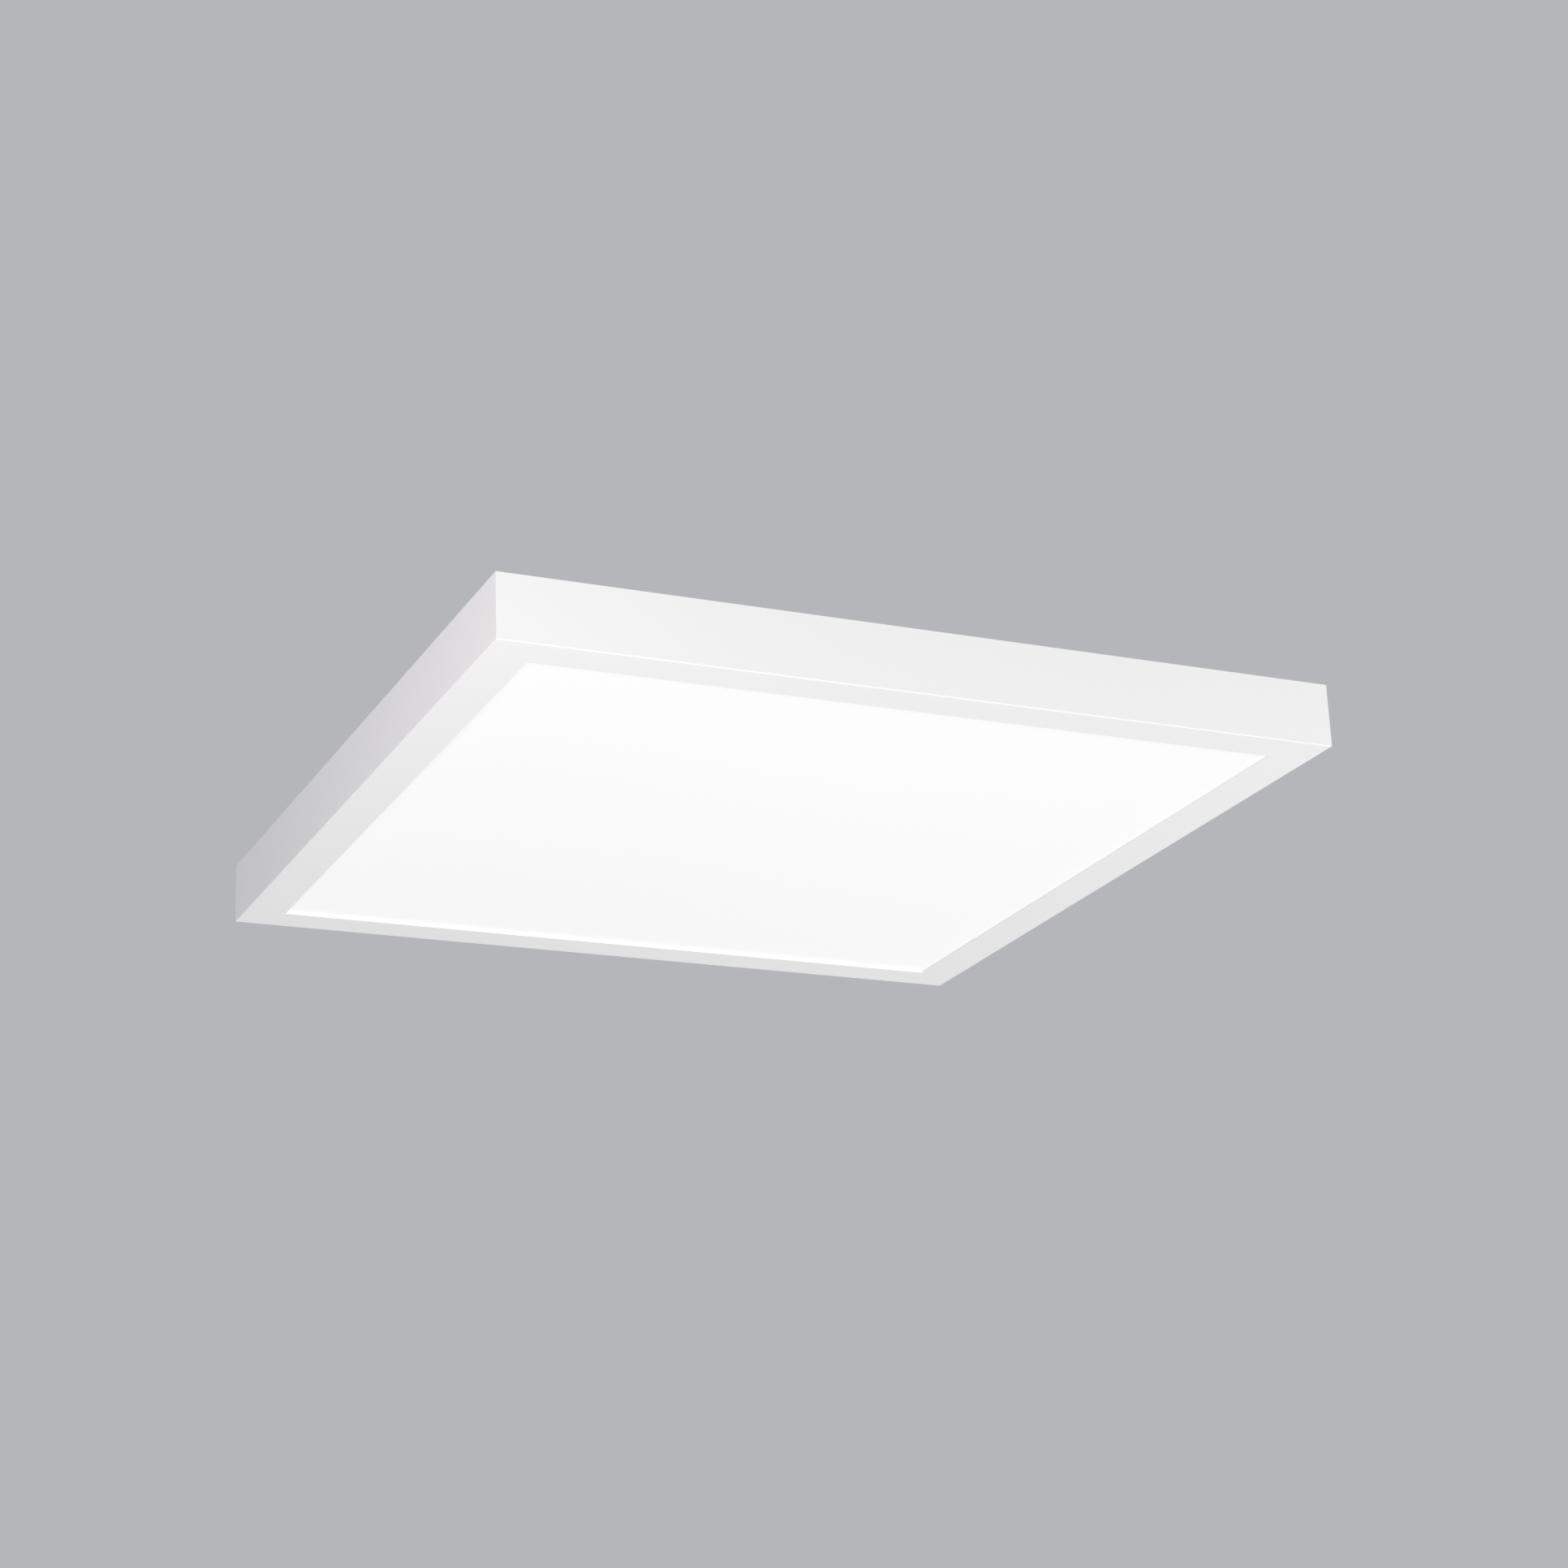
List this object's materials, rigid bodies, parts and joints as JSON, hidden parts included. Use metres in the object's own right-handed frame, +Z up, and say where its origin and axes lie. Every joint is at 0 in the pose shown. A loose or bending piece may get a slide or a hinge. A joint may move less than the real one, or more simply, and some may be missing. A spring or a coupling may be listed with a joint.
{
  "type": "flush mount ceiling light",
  "caption": "Square flush mount ceiling light: white mitred frame round a flat opal diffuser, edge lit, on a ceiling plate from which the lit panel swings down.",
  "frame": {"origin": "middle of the ceiling plate's top face, in the plane of the ceiling", "axes": "+Z up into the ceiling, +Y towards the hinge side, +X along the hinge axis"},
  "size_m": [0.4, 0.4, 0.0312],
  "materials": {
    "housing_white": "fine matt powder coat",
    "diffuser_opal": "opal, lit from behind",
    "guide_clear": "polished acrylic sheet",
    "reflector_white": "white film",
    "foam_grey": "closed cell foam",
    "zinc_steel": "zinc plated sheet",
    "screw_steel": "bright zinc plated",
    "spring_steel": "oiled spring wire",
    "key_aluminium": "die cast",
    "board_white": "white solder mask",
    "board_green": "green solder mask",
    "led_yellow": "phosphor",
    "driver_white": "moulded, fine texture",
    "core_dark": "ferrite and tape",
    "can_black": "shrink sleeve",
    "connector_grey": "moulded nylon",
    "block_grey": "moulded polycarbonate",
    "lever_orange": "moulded",
    "lead_brown": "insulation",
    "lead_blue": "insulation",
    "lead_green": "insulation",
    "lead_red": "insulation",
    "lead_black": "insulation",
    "clip_nylon": "moulded nylon",
    "grommet_rubber": "moulded",
    "lug_tin": "tinned"
  },
  "bodies": {
    "ceiling_mount": {"ceiling_plate": "zinc_steel", "cable_grommet": "grommet_rubber", "mount_rivets": "screw_steel", "hinge_hook_left": "zinc_steel", "hinge_hook_right": "zinc_steel", "latch_bracket_left": "zinc_steel", "latch_bracket_right": "zinc_steel", "latch_pins": "screw_steel", "latch_spring_left": "spring_steel", "latch_spring_right": "spring_steel"},
    "panel": {"rail_front": "housing_white", "rail_rear": "housing_white", "rail_left": "housing_white", "rail_right": "housing_white", "corner_key_front_left": "key_aluminium", "corner_key_front_right": "key_aluminium", "corner_key_rear_right": "key_aluminium", "corner_key_rear_left": "key_aluminium", "diffuser": "diffuser_opal", "light_guide": "guide_clear", "reflector_sheet": "reflector_white", "foam_pad": "foam_grey", "back_plate": "zinc_steel", "hinge_clevis_left": "zinc_steel", "hinge_clevis_right": "zinc_steel", "latch_strike_left": "zinc_steel", "latch_strike_right": "zinc_steel", "back_plate_screws": "screw_steel", "clevis_rivets": "screw_steel", "strike_rivets": "screw_steel", "hinge_pin_left": "screw_steel", "hinge_pin_right": "screw_steel", "driver_screws": "screw_steel", "earth_screw": "screw_steel", "led_board_left": "board_white", "led_board_right": "board_white", "led_packages_left": "led_yellow", "led_packages_right": "led_yellow", "driver_case": "driver_white", "driver_lid": "driver_white", "driver_board": "board_green", "transformer": "core_dark", "capacitors": "can_black", "input_connector": "connector_grey", "output_connector": "connector_grey", "terminal_block": "block_grey", "mains_lead_live": "lead_brown", "mains_lead_neutral": "lead_blue", "earth_lead": "lead_green", "led_leads_red": "lead_red", "led_leads_black": "lead_black", "earth_lug": "lug_tin", "lead_clips": "clip_nylon"},
    "latch_left": {"latch_lever_left": "zinc_steel"},
    "latch_right": {"latch_lever_right": "zinc_steel"},
    "lever_live": {"terminal_lever_live": "lever_orange"},
    "lever_neutral": {"terminal_lever_neutral": "lever_orange"},
    "lever_earth": {"terminal_lever_earth": "lever_orange"}
  },
  "joints": [
    {"name": "panel_swing", "type": "hinge", "parent": "ceiling_mount", "child": "panel", "pos_m": [0, 0.1948, -0.013], "axis": [1, 0, 0], "range_deg": [0, 90]},
    {"name": "latch_left_turn", "type": "hinge", "parent": "ceiling_mount", "child": "latch_left", "pos_m": [-0.12, -0.187, -0.005], "axis": [1, 0, 0], "range_deg": [0, 20], "stiffness_Nm_per_rad": 0.12, "springref_deg": -40.11, "deforming": ["latch_spring_left"]},
    {"name": "latch_right_turn", "type": "hinge", "parent": "ceiling_mount", "child": "latch_right", "pos_m": [0.12, -0.187, -0.005], "axis": [1, 0, 0], "range_deg": [0, 20], "stiffness_Nm_per_rad": 0.12, "springref_deg": -40.11, "deforming": ["latch_spring_right"]},
    {"name": "lever_live_turn", "type": "hinge", "parent": "panel", "child": "lever_live", "pos_m": [-0.116, -0.035, -0.014], "axis": [1, 0, 0], "range_deg": [0, 90]},
    {"name": "lever_neutral_turn", "type": "hinge", "parent": "panel", "child": "lever_neutral", "pos_m": [-0.108, -0.035, -0.014], "axis": [1, 0, 0], "range_deg": [0, 90]},
    {"name": "lever_earth_turn", "type": "hinge", "parent": "panel", "child": "lever_earth", "pos_m": [-0.1, -0.035, -0.014], "axis": [1, 0, 0], "range_deg": [0, 90]}
  ]
}
